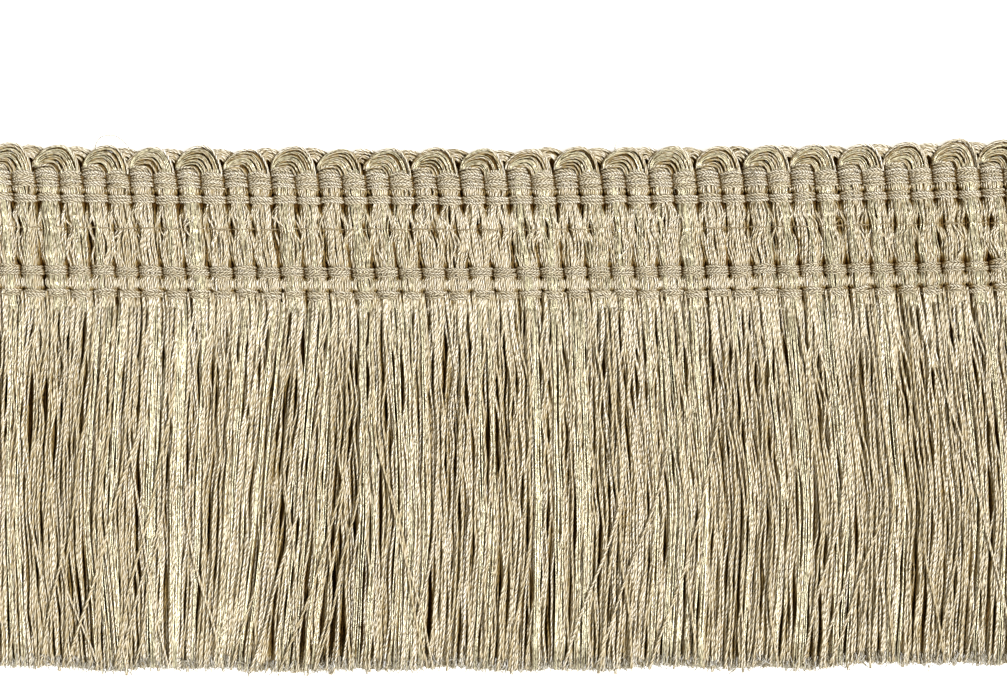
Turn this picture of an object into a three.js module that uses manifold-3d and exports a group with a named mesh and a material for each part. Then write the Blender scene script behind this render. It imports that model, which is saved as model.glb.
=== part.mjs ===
// A cut length of brush fringe trim lying flat on its back, face up.
// A woven gimp heading with a scalloped loop edge carries a deep brush of cut yarn.
// X runs along the trim, Y from the cut tips of the brush up to the loops, Z off the surface.
// Sizes are millimetres. A "drop" is a distance below the crown of the loops.

import * as THREE from 'three';
import { mergeVertices } from 'three/addons/utils/BufferGeometryUtils.js';
import Module from 'manifold-3d';

const wasm = await Module();
wasm.setup();

// Driving sizes of the whole trim
const columnPitch = 3.43; // one weft bundle to the next
const columnCount = 46; // an even number: each front loop joins two columns
const totalDrop = 76.2; // crown of the loops to the cut tips
const columnLean = 0.1; // the weft bundles lean: sideways shift for each mm of drop
const leanPivot = 11.2; // the drop that the lean turns about, half way down the heading
const seatGap = 0.3; // clearance between pieces that touch on the real trim

// Across one column the face climbs from the valley to a crest between two shoulders
const shoulder = 0.3; // of the pitch, either side of the column's middle
const halfLength = (columnCount * columnPitch) / 2;

// Crest and valley heights of the gimp's face, down the heading. They are level where a binder
// lies over the bundles.
const binderBed = 1.9;
const threadBed = 1.6;
const threadPinch = 1.4; // the bundles are drawn in below the thread's own bed
const gimpSections = [
  { drop: 2.2, crest: binderBed, valley: binderBed },
  { drop: 8.5, crest: binderBed, valley: binderBed },
  { drop: 9.7, crest: 2.9, valley: 0.9 },
  { drop: 12.0, crest: threadPinch, valley: threadPinch },
  { drop: 14.4, crest: 3.0, valley: 0.9 },
  { drop: 17.0, crest: 2.4, valley: 1.5 },
];

// The foot of the heading, which holds the roots of the brush
const footBed = 2.1;
const footSections = [
  { drop: 17.3, crest: footBed, valley: footBed },
  { drop: 19.1, crest: footBed, valley: footBed },
  { drop: 19.95, crest: 3.0, valley: 1.3 },
  { drop: 20.8, crest: footBed, valley: footBed },
  { drop: 22.4, crest: footBed, valley: footBed },
];

// The warp binders, woven over and under the bundles. Each band lies on its bed.
const binderSpecs = [
  { name: 'binder_band_wide', bed: binderBed, top: 3.1, bottom: 6.2, crest: 3.1, valley: 2.5 },
  { name: 'binder_band_narrow', bed: binderBed, top: 7.1, bottom: 8.4, crest: 3.0, valley: 2.5 },
  { name: 'binder_thread', bed: threadBed, top: 11.75, bottom: 12.25, crest: 2.4, valley: 2.1 },
  { name: 'foot_band_upper', bed: footBed, top: 17.5, bottom: 19.0, crest: 3.2, valley: 2.7 },
  { name: 'foot_band_lower', bed: footBed, top: 20.9, bottom: 22.2, crest: 3.2, valley: 2.7 },
];

// Loops of weft bundle along the top edge. A front loop joins the two columns of a pair,
// and a lower one behind it goes on to the next pair. Widths and thicknesses are halves.
const loopFoot = 2.8; // drop where a loop goes down into its columns
const frontLoop = { crownDrop: 0, wide: 1.3, thick: 1.2, height: 1.9, steps: 6, sides: 5 };
const backLoop = { crownDrop: 0.8, wide: 1.1, thick: 0.9, height: 0.95, steps: 4, sides: 4 };

// The brush: locks lying on the surface, and finer locks lying on those, all rooted in the foot.
// A lock is thinner at its root than where it has fanned out.
const rootDrop = 21.9;
const fanDrop = 26;
const rootNarrowing = 0.8; // width at the root, as a share of the full width
const brushLayers = [
  {
    perColumn: 2,
    width: 1.42,
    root: { height: 0.45, thick: 0.9 },
    fanned: { height: 0.75, thick: 1.5 },
    segments: 1,
    corners: [[1, -1], [0.8, 1], [-0.8, 1], [-1, -1]],
  },
  {
    perColumn: 3,
    width: 0.92,
    root: { height: 1.45, thick: 0.9 },
    fanned: { height: 2.4, thick: 1.4 },
    segments: 2,
    corners: [[1, -1], [0, 1], [-1, -1]],
  },
];
const tipUnevenness = 0.8; // how far a lock's cut end may stop short
const brushSway = [
  { reach: 0.55, wavelength: 61, phase: 0.4 },
  { reach: 0.3, wavelength: 37, phase: 2.1 },
];

const leaned = (x, drop) => x + columnLean * (drop - leanPivot);
const point = (x, drop, height) => new THREE.Vector3(leaned(x, drop), -drop, height);
const columnMiddle = (column) => (column + 0.5) * columnPitch - halfLength;

// Steady pseudo-random numbers from 0 to 1, the same on every run
function makeRandom(seed) {
  let state = seed;
  return () => {
    state = (state * 16807) % 2147483647;
    return state / 2147483647;
  };
}

function geometryFrom(points, triangles) {
  const geometry = new THREE.BufferGeometry().setFromPoints(points);
  geometry.setIndex(triangles.flat());
  return geometry;
}

// The samples along X: a valley and two shoulders for each column, and a last valley
function samplesAlong() {
  const samples = [];
  for (let column = 0; column < columnCount; column += 1) {
    const middle = columnMiddle(column);
    samples.push({ x: middle - columnPitch / 2, onCrest: false });
    samples.push({ x: middle - shoulder * columnPitch, onCrest: true });
    samples.push({ x: middle + shoulder * columnPitch, onCrest: true });
  }
  samples.push({ x: halfLength, onCrest: false });
  return samples;
}

// A flat polygon given as indices in order, seen from outside along the axes of its plane
function polygon(points, ring, flatten) {
  const outline = ring.map((index) => flatten(points[index]));
  const faces = THREE.ShapeUtils.triangulateShape(outline, []);
  const turned = THREE.ShapeUtils.isClockWise(outline);
  return faces.map(([a, b, c]) => (turned ? [ring[a], ring[c], ring[b]] : [ring[a], ring[b], ring[c]]));
}

// The triangles from a level end section, which has only its two ends, to the row beside it
function levelStrip([left, right], row) {
  const half = Math.floor(row.length / 2);
  const triangles = [[left, row[half], right]];
  for (let i = 0; i + 1 < row.length; i += 1) {
    triangles.push([i < half ? left : right, row[i], row[i + 1]]);
  }
  return triangles;
}

// The triangles between two rows of the face, the upper one nearer the loops
function faceStrip(upper, lower) {
  if (upper.length === 2) return levelStrip(upper, lower);
  if (lower.length === 2) return levelStrip(lower, upper).map(([a, b, c]) => [a, c, b]);
  const triangles = [];
  for (let i = 0; i + 1 < upper.length; i += 1) {
    triangles.push([upper[i], lower[i], lower[i + 1]], [upper[i], lower[i + 1], upper[i + 1]]);
  }
  return triangles;
}

// A slab with a flat back, whose face is raised in a rib over each column
function ribbedSlab(sections) {
  const samples = samplesAlong();
  const ends = [samples[0], samples[samples.length - 1]];
  const last = sections.length - 1;
  const points = [];
  const rows = sections.map(({ drop, crest, valley }, section) => {
    const levelEnd = crest === valley && (section === 0 || section === last);
    const across = levelEnd ? ends : samples;
    return across.map(({ x, onCrest }) => points.push(point(x, drop, onCrest ? crest : valley)) - 1);
  });
  const [[topLeft, topRight], [footLeft, footRight]] = [sections[0], sections[last]].map(({ drop }) =>
    ends.map(({ x }) => points.push(point(x, drop, 0)) - 1),
  );
  const leftSide = rows.map((row) => row[0]).toReversed();
  const rightSide = rows.map((row) => row[row.length - 1]);
  const triangles = [
    [topLeft, topRight, footRight],
    [topLeft, footRight, footLeft],
    ...polygon(points, [topRight, topLeft, ...rows[0]], (p) => new THREE.Vector2(-p.x, p.z)),
    ...polygon(points, [footLeft, footRight, ...rows[last].toReversed()], (p) => new THREE.Vector2(p.x, p.z)),
    ...polygon(points, [topLeft, footLeft, ...leftSide], (p) => new THREE.Vector2(-p.y, p.z)),
    ...polygon(points, [footRight, topRight, ...rightSide], (p) => new THREE.Vector2(p.y, p.z)),
  ];
  for (let section = 0; section < last; section += 1) {
    triangles.push(...faceStrip(rows[section], rows[section + 1]));
  }
  return geometryFrom(points, triangles);
}

// A binder band: flat underneath on its bed, its face rising over each column
function binderBand({ bed, top, bottom, crest, valley }) {
  const outline = new THREE.Shape();
  outline.moveTo(-halfLength, bed + seatGap);
  outline.lineTo(halfLength, bed + seatGap);
  for (const { x, onCrest } of samplesAlong().toReversed()) {
    outline.lineTo(x, onCrest ? crest : valley);
  }
  const band = new THREE.ExtrudeGeometry(outline, { depth: bottom - top, bevelEnabled: false });
  band.rotateX(Math.PI / 2); // the outline's height becomes Z, and the extrusion runs down the trim
  band.translate(0, -top, 0);
  return leanGeometry(band);
}

// Shifts every vertex sideways by the lean of the columns at its drop
function leanGeometry(geometry) {
  const places = geometry.getAttribute('position');
  for (let i = 0; i < places.count; i += 1) {
    places.setX(i, leaned(places.getX(i), -places.getY(i)));
  }
  return geometry;
}

// A closed tube through rings of corners, each ring in the same order and facing along the way
function tubeThrough(rings) {
  const sides = rings[0].length;
  const points = rings.flat();
  const triangles = [];
  for (let ring = 0; ring < rings.length - 1; ring += 1) {
    for (let side = 0; side < sides; side += 1) {
      const a = ring * sides + side;
      const b = ring * sides + ((side + 1) % sides);
      triangles.push([a, b, b + sides], [a, b + sides, a + sides]);
    }
  }
  const end = (rings.length - 1) * sides;
  for (let side = 1; side < sides - 1; side += 1) {
    triangles.push([0, side + 1, side], [end, end + side, end + side + 1]);
  }
  return geometryFrom(points, triangles);
}

// A loop of weft bundle from one column over to the next: half an ellipse, its section one too
function weftLoop(column, { crownDrop, wide, thick, height, steps, sides }) {
  const middle = (columnMiddle(column) + columnMiddle(column + 1)) / 2;
  const reachAcross = columnPitch / 2;
  const reachUp = loopFoot - crownDrop - wide;
  const rings = [];
  for (let step = 0; step <= steps; step += 1) {
    const along = Math.PI * (1 - step / steps);
    const [outwardX, outwardDrop] = [Math.cos(along), -Math.sin(along)];
    const ring = [];
    for (let side = 0; side < sides; side += 1) {
      const turn = (2 * Math.PI * side) / sides;
      const out = wide * Math.cos(turn);
      const x = middle + outwardX * (reachAcross + out);
      const drop = loopFoot + outwardDrop * (reachUp + out);
      ring.push(point(x, drop, height + thick * Math.sin(turn)));
    }
    rings.push(ring);
  }
  return tubeThrough(rings);
}

// How far the brush's tips lean aside at x, a slow wave along the trim
function swayAt(x) {
  let sway = 0;
  for (const { reach, wavelength, phase } of brushSway) {
    sway += reach * Math.sin((2 * Math.PI * x) / wavelength + phase);
  }
  return sway;
}

// One lock of the brush, from its root in the foot to its cut end, swaying with its neighbours
function brushLock(x, { width, root, fanned, segments, corners }, endDrop) {
  const rootX = leaned(x, rootDrop);
  const sway = swayAt(x);
  const ringAt = (drop, { height, thick }, halfWidth) => {
    const down = (drop - rootDrop) / (totalDrop - rootDrop);
    const middle = rootX + sway * down * down;
    return corners.map(
      ([across, up]) => new THREE.Vector3(middle + across * halfWidth, -drop, height + (up * thick) / 2),
    );
  };
  const rings = [ringAt(rootDrop, root, (rootNarrowing * width) / 2)];
  for (let segment = 0; segment <= segments; segment += 1) {
    const drop = fanDrop + ((endDrop - fanDrop) * segment) / segments;
    rings.push(ringAt(drop, fanned, width / 2));
  }
  return tubeThrough(rings);
}

function asSolid(geometry) {
  const bare = geometry.clone();
  bare.deleteAttribute('normal');
  bare.deleteAttribute('uv');
  const merged = mergeVertices(bare, 1e-4);
  return new wasm.Manifold(
    new wasm.Mesh({
      numProp: 3,
      vertProperties: merged.attributes.position.array,
      triVerts: new Uint32Array(merged.index.array),
    }),
  );
}

// Several closed geometries fused into one
function fused(geometries) {
  const mesh = geometries.map(asSolid).reduce((whole, solid) => whole.add(solid)).getMesh();
  const geometry = new THREE.BufferGeometry();
  geometry.setAttribute('position', new THREE.BufferAttribute(mesh.vertProperties, 3));
  geometry.setIndex(new THREE.BufferAttribute(mesh.triVerts, 1));
  return geometry;
}

function gimpHeading() {
  const pieces = [ribbedSlab(gimpSections)];
  for (let column = 0; column + 1 < columnCount; column += 1) {
    pieces.push(weftLoop(column, column % 2 === 0 ? frontLoop : backLoop));
  }
  return fused(pieces);
}

function brushSkirt() {
  const random = makeRandom(20);
  const pieces = [ribbedSlab(footSections)];
  for (const layer of brushLayers) {
    const lockPitch = columnPitch / layer.perColumn;
    for (let lock = 0; lock < columnCount * layer.perColumn; lock += 1) {
      const x = (lock + 0.5) * lockPitch - halfLength;
      pieces.push(brushLock(x, layer, totalDrop - tipUnevenness * random()));
    }
  }
  return fused(pieces);
}

function yarn(color, roughness) {
  return new THREE.MeshStandardMaterial({ color, roughness, metalness: 0 });
}

function named(name, geometry, material) {
  geometry.computeVertexNormals();
  const mesh = new THREE.Mesh(geometry, material);
  mesh.name = name;
  return mesh;
}

const weftYarn = yarn(0xc4b696, 0.6);
const binderYarn = yarn(0xb9a888, 0.7);
const trim = new THREE.Group();
trim.add(named('gimp_heading', gimpHeading(), weftYarn));
trim.add(named('brush_skirt', brushSkirt(), weftYarn));
for (const spec of binderSpecs) {
  trim.add(named(spec.name, binderBand(spec), binderYarn));
}

// The origin goes to the middle of the underside
const extent = new THREE.Box3().setFromObject(trim);
const middle = extent.getCenter(new THREE.Vector3());
trim.position.set(-middle.x, -middle.y, -extent.min.z);

export default trim;
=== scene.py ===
import math

import bpy
import numpy as np
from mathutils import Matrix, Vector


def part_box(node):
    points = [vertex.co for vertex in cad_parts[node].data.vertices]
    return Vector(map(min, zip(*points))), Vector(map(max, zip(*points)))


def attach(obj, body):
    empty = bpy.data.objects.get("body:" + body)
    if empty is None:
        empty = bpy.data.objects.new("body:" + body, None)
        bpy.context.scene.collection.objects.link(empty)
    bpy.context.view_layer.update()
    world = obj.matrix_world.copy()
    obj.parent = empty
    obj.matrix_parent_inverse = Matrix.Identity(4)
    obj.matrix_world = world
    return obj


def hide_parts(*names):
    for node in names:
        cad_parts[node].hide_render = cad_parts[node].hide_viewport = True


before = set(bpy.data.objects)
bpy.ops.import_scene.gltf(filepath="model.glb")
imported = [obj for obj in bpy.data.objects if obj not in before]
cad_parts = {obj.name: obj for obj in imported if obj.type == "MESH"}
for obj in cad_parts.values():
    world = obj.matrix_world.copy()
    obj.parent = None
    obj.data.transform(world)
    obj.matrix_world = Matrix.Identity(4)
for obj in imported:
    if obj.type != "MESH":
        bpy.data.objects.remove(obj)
scene = bpy.context.scene
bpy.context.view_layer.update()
print("frame loaded:", ", ".join(sorted(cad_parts)))

# Lengths in the dictionaries are millimetres unless a name says otherwise.
# x runs along the trim, a drop is measured down from the crown of the loops, a height off the surface.
trim = {
    "columnPitch": 3.43,  # one weft bundle to the next
    "columnCount": 46,
    "lean": 0.1,  # sideways shift of the bundles for each mm of drop
    "leanPivot": 11.2,
    "threadDrop": 12.0,  # the fine binder's drop, which ties the drops to the frame
    "bowRise": 1.0,  # how far the trim curves up towards its far ends
    "bowMiddle": -12.8, "bowReach": 83.5,
    "plyPitch": 2.1,  # one turn of the two-ply twist of the weft
    "twistSpread": (0.75, 0.5),  # a yarn's twist is the first plus its tone times the second
    "twistStart": 31,  # turns of twist before its start, times its tone
    "innerHeight": 0.8,  # where the round faces of the bundles would meet
    "highest": 3.0, "clearance": 0.005, "lowestDrop": 80, "seed": 7,
}
pitch = trim["columnPitch"]
columns = trim["columnCount"]
halfLength = pitch * columns / 2
columnMiddles = (np.arange(columns) + 0.5) * pitch - halfLength
lowCorner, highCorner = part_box("binder_thread")
threadMiddle = (lowCorner + highCorner) / 2 * 1000
xOffset = threadMiddle.x - trim["lean"] * (trim["threadDrop"] - trim["leanPivot"])
yOffset = threadMiddle.y + trim["threadDrop"]

# How a column looks from the crown of the loops down to the brush. A row gives the drop, the half
# width of the bundle, the height of its face, how much of that height it loses at its sides, and how
# loosely its yarns lie.
bundleProfile = [
    (0, 1.6, 1.6, 0.5, 0),
    (1.3, 1.6, 1.95, 0.5, 0),
    (2.4, 1.54, 2.25, 0.8, 0),
    (6, 1.56, 2.25, 0.8, 0),
    (6.6, 1.74, 2.45, 0.35, 0),
    (7.2, 1.56, 2.25, 0.75, 0),
    (8.3, 1.56, 2.25, 0.75, 0),
    (9, 1.7, 2.5, 0.45, 0.1),
    (10.2, 1.86, 2.9, 0.3, 0.4),
    (11.3, 1.8, 2.5, 0.3, 0.3),
    (12, 1.76, 2.1, 0.4, 0.1),
    (12.8, 1.8, 2.3, 0.45, 0.3),
    (14.2, 1.88, 2.6, 0.3, 0.6),
    (15.9, 1.9, 2.95, 0.3, 0.3),
    (16.9, 1.74, 2.75, 0.25, 0),
    (17.6, 1.6, 2.4, 0.7, 0),
    (19, 1.6, 2.4, 0.6, 0),
    (19.4, 1.86, 2.8, 0.1, 0.1),
    (20.5, 1.86, 2.8, 0.1, 0.1),
    (20.9, 1.6, 2.4, 0.75, 0),
    (22.2, 1.6, 2.4, 0.75, 0),
    (24, 1.8, 2.5, 0.2, 0.3),
    (26, 1.8, 2.55, 0.2, 0.3),
    (36, 1.8, 2.8, 0.2, 0.3),
]
profileDrops, profileHalves, profileTops, profileRounds, profileLoose = zip(*bundleProfile)


def leaned(x, drop):
    # a straight lean: x plus the lean times the drop below the pivot
    return x + trim["lean"] * (drop - trim["leanPivot"])


def place(x, drop, height):
    # to metres in the frame, with the whole trim bowed by a parabola along x
    bow = trim["bowRise"] * ((x - trim["bowMiddle"]) / trim["bowReach"]) ** 2
    return np.stack(np.broadcast_arrays(x + xOffset, yOffset - drop + bow, height), axis=-1) / 1000


def eased(drop, knots, values):
    # between two knots the value follows a smooth step, level at both
    knots, values = np.asarray(knots, float), np.asarray(values, float)
    part = np.clip(np.searchsorted(knots, drop) - 1, 0, len(knots) - 2)
    t = np.clip((drop - knots[part]) / (knots[part + 1] - knots[part]), 0, 1)
    return values[part] + (values[part + 1] - values[part]) * t * t * (3 - 2 * t)


def ramp(value, start, end):
    # a smooth step, 3 t squared minus 2 t cubed, from 0 at the start to 1 at the end
    t = np.clip((value - start) / (end - start), 0, 1)
    return t * t * (3 - 2 * t)


def plateau(value, start, full, fade, gone):
    # a smooth step up and then a smooth step down
    return ramp(value, start, full) * (1 - ramp(value, fade, gone))


def wander(rng, count, along, waves):
    # a sum of sine waves along the yarn, each yarn with its own phases
    total = np.zeros((count, along.shape[-1]))
    for length, reach in waves:
        phase = rng.uniform(0, 2 * np.pi, (count, 1))
        stretch = rng.uniform(0.75, 1.3, (count, 1))
        total += reach * np.sin(2 * np.pi * along / (length * stretch) + phase)
    return total


# Where painted shade darkens the yarns' colour. A pair gives where a smooth step starts and ends.
shading = {
    "fromEnds": (0.2, 2.5), "fromCrowns": (0.1, 1.2), "fromTips": (0, 2), "tipDrop": 75.6,
    "openSide": 0.65,  # of the painted shade on the sides, what is left where the trim is open
    "sideShade": 0.9, "facing": (-0.6, 0.9), "depth": (0.3, 1.15),
    "back": (0.12, 0.5),  # heights at which the open back turns into the inside
    # where the yarns lie pressed together, their sides get less painted shade by these shares
    "pressedDrops": (8.5, 9.5, 11.3, 12.2, 13.2, 16.4, 17.3, 19, 20, 20.8, 22.3, 23.6, 27, 33, 46, 58, 80),
    "pressed": (0, 0.3, 0.3, 0.1, 0.08, 0.08, 0, 0, 0.46, 0, 0, 0.4, 0.4, 0.02, 0.02, 0.1, 0.1),
}


def litShare(points, facing):
    # Painted shade: the yarn's colour is darkened the deeper it lies below the face of the trim, and on
    # its sides and underside, where it meets its neighbours and shade falls. The back, the crowns, the
    # tips and both ends are open and get none.
    height = points[..., 2] * 1000
    across = np.abs(points[..., 0] * 1000 - xOffset)
    drop = yOffset - points[..., 1] * 1000
    inside = ramp(halfLength - across, *shading["fromEnds"])
    inside = inside * ramp(drop, *shading["fromCrowns"])
    inside = inside * ramp(shading["tipDrop"] - drop, *shading["fromTips"])
    depth = eased(drop, profileDrops, profileTops) - height
    closed = shading["openSide"] + (1 - shading["openSide"]) * inside
    sideShade = shading["sideShade"] - np.interp(drop, shading["pressedDrops"], shading["pressed"])
    side = 1 - closed * sideShade * (1 - ramp(facing, *shading["facing"]))
    lit = side * (1 - inside * ramp(depth, *shading["depth"]))
    return np.maximum(lit, 1 - ramp(height, *shading["back"]))


def tubes(path, radius, sides, tone, shade, handed=1.0, turnLength=trim["plyPitch"]):
    # A ring of points round each path point: across * cos(turn) + rise * sin(turn), times the radius.
    # Across is the path's direction crossed with up, and rise is across crossed with the direction.
    # The shade is one number, or one for each point of the path; it is multiplied by the painted shade
    # of litShare and stored as the shade attribute.
    count, steps = path.shape[:2]
    along = np.gradient(path, axis=1)
    along /= np.linalg.norm(along, axis=2, keepdims=True) + 1e-12
    across = np.cross(along, [0.0, 0.0, 1.0])
    across /= np.linalg.norm(across, axis=2, keepdims=True) + 1e-12
    rise = np.cross(across, along)
    turn = 2 * np.pi * (np.arange(sides) / sides + 0.25)
    ring = across[:, :, None] * np.cos(turn)[:, None] + rise[:, :, None] * np.sin(turn)[:, None]
    thick = np.broadcast_to(radius, (count, steps))[:, :, None, None] / 1000
    points = path[:, :, None] + ring * thick
    first = (np.arange(count)[:, None] * steps + np.arange(steps - 1))[:, :, None] * sides
    here, there = np.arange(sides), (np.arange(sides) + 1) % sides
    quads = np.stack([first + here, first + sides + here, first + sides + there, first + there], axis=-1)
    length = np.zeros((count, steps))
    length[:, 1:] = np.cumsum(np.linalg.norm(np.diff(path, axis=1), axis=2), axis=1)
    least, more = trim["twistSpread"]
    turns = length * 1000 / turnLength * (least + more * tone[:, None]) + tone[:, None] * trim["twistStart"]
    around = np.broadcast_to(handed, (count,))[:, None] * np.arange(sides + 1) / sides
    u = np.stack([turns[:, :-1], turns[:, 1:], turns[:, 1:], turns[:, :-1]], axis=-1)[:, :, None]
    v = np.stack([around[:, :-1], around[:, :-1], around[:, 1:], around[:, 1:]], axis=-1)[:, None]
    u, v = np.broadcast_arrays(u, v)
    start = np.arange(count)[:, None] * steps * sides + np.arange(sides)
    end = start + (steps - 1) * sides
    caps = np.concatenate([start, end[:, ::-1]])
    capTurns = np.concatenate([turns[:, :1], turns[:, -1:]])
    capU = np.broadcast_to(capTurns, caps.shape)
    capV = np.concatenate([around[:, :-1], around[:, :-1]])
    return {
        "points": points.reshape(-1, 3),
        "faces": [quads.reshape(-1, 4), caps],
        "uv": [np.stack([u, v], axis=-1).reshape(-1, 2), np.stack([capU, capV], axis=-1).reshape(-1, 2)],
        "tone": np.repeat(tone, steps * sides),
        "shade": (shade * litShare(points, np.sin(turn))).reshape(-1),
    }


def makePiece(name, batches, material, nodes):
    # Joins batches of tubes into one mesh, with its own UV map and two attributes for its material
    points = np.concatenate([b["points"] for b in batches])
    firsts = np.cumsum([0] + [len(b["points"]) for b in batches])
    faces, uvs = [], []
    for batch, first in zip(batches, firsts):
        faces += [f + first for f in batch["faces"]]
        uvs += batch["uv"]
    sizes = np.concatenate([np.full(len(f), f.shape[1]) for f in faces])
    mesh = bpy.data.meshes.new(name)
    mesh.vertices.add(len(points))
    mesh.vertices.foreach_set("co", points.ravel())
    mesh.loops.add(int(sizes.sum()))
    mesh.loops.foreach_set("vertex_index", np.concatenate([f.ravel() for f in faces]))
    mesh.polygons.add(len(sizes))
    mesh.polygons.foreach_set("loop_start", np.concatenate([[0], np.cumsum(sizes)[:-1]]))
    mesh.polygons.foreach_set("use_smooth", np.ones(len(sizes), dtype=bool))
    layer = mesh.uv_layers.new(name="yarnMap")
    layer.data.foreach_set("uv", np.concatenate(uvs).astype(np.float32).ravel())
    for key in ("tone", "shade"):
        values = np.concatenate([b[key] for b in batches]).astype(np.float32)
        mesh.attributes.new(key, "FLOAT", "POINT").data.foreach_set("value", values)
    mesh.update(calc_edges=True)
    mesh.validate()
    mesh.materials.append(material)
    piece = bpy.data.objects.new(name, mesh)
    scene.collection.objects.link(piece)
    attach(piece, "root")
    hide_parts(*nodes)
    triangles = int((sizes - 2).sum())
    print(f"{name}: {triangles} triangles")


# Materials. A node's column and row only place it in the editor.

def addNode(tree, kind, column, row, **settings):
    node = tree.nodes.new(kind)
    node.location = (column * 190, row * -170)
    for key, value in settings.items():
        setattr(node, key, value)
    return node


def setInputs(node, values):
    for label, value in values.items():
        node.inputs[label].default_value = value


def mathNode(tree, operation, column, row, first, second=None):
    node = addNode(tree, "ShaderNodeMath", column, row, operation=operation)
    for socket, value in zip(node.inputs, (first, second)):
        if isinstance(value, (int, float)):
            socket.default_value = value
        elif value is not None:
            tree.links.new(value, socket)
    return node.outputs[0]


def mixColours(tree, column, row, factor, first, second, blend="MIX"):
    node = addNode(tree, "ShaderNodeMix", column, row, data_type="RGBA", blend_type=blend)
    for socket, value in ((node.inputs[0], factor), (node.inputs[6], first), (node.inputs[7], second)):
        if isinstance(value, (int, float, tuple)):
            socket.default_value = value
        else:
            tree.links.new(value, socket)
    return node.outputs[2]


def rampNode(tree, column, row, value, low, high, **settings):
    node = addNode(tree, "ShaderNodeMapRange", column, row, **settings)
    tree.links.new(value, node.inputs["Value"])
    for label, end in (("From Min", low), ("From Max", high)):
        if isinstance(end, (int, float)):
            node.inputs[label].default_value = end
        else:
            tree.links.new(end, node.inputs[label])
    return node.outputs[0]


def noiseNode(tree, column, row, vector, label, scale, detail, **settings):
    node = addNode(tree, "ShaderNodeTexNoise", column, row, **settings)
    setInputs(node, {"Scale": scale, "Detail": detail})
    tree.links.new(vector, node.inputs[label])
    return node.outputs[0]


twistShape = {
    "strayScale": 0.9,  # how the twist runs ahead and falls behind along the yarn, in turns
    "strayDetail": 2.0, "strayReach": 0.8,
    "opening": (0.35, 0.65),  # values of the same noise between which the plies open up
    "openRidge": 0.85, "fibreAlong": 0.5, "fibreRound": 7.0, "fibreScale": 1.6, "fibreDetail": 3.0,
    "fibreRelief": 0.25,
    "powers": (0.97, 1.1, 1.5),  # of the red, green and blue of the streaks
    "paintedShade": 0.55,  # the shade below which the painted deep shade colour starts to show
    "lit": 0.45,  # the shade above which the yarn's own colour starts to show
}


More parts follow.
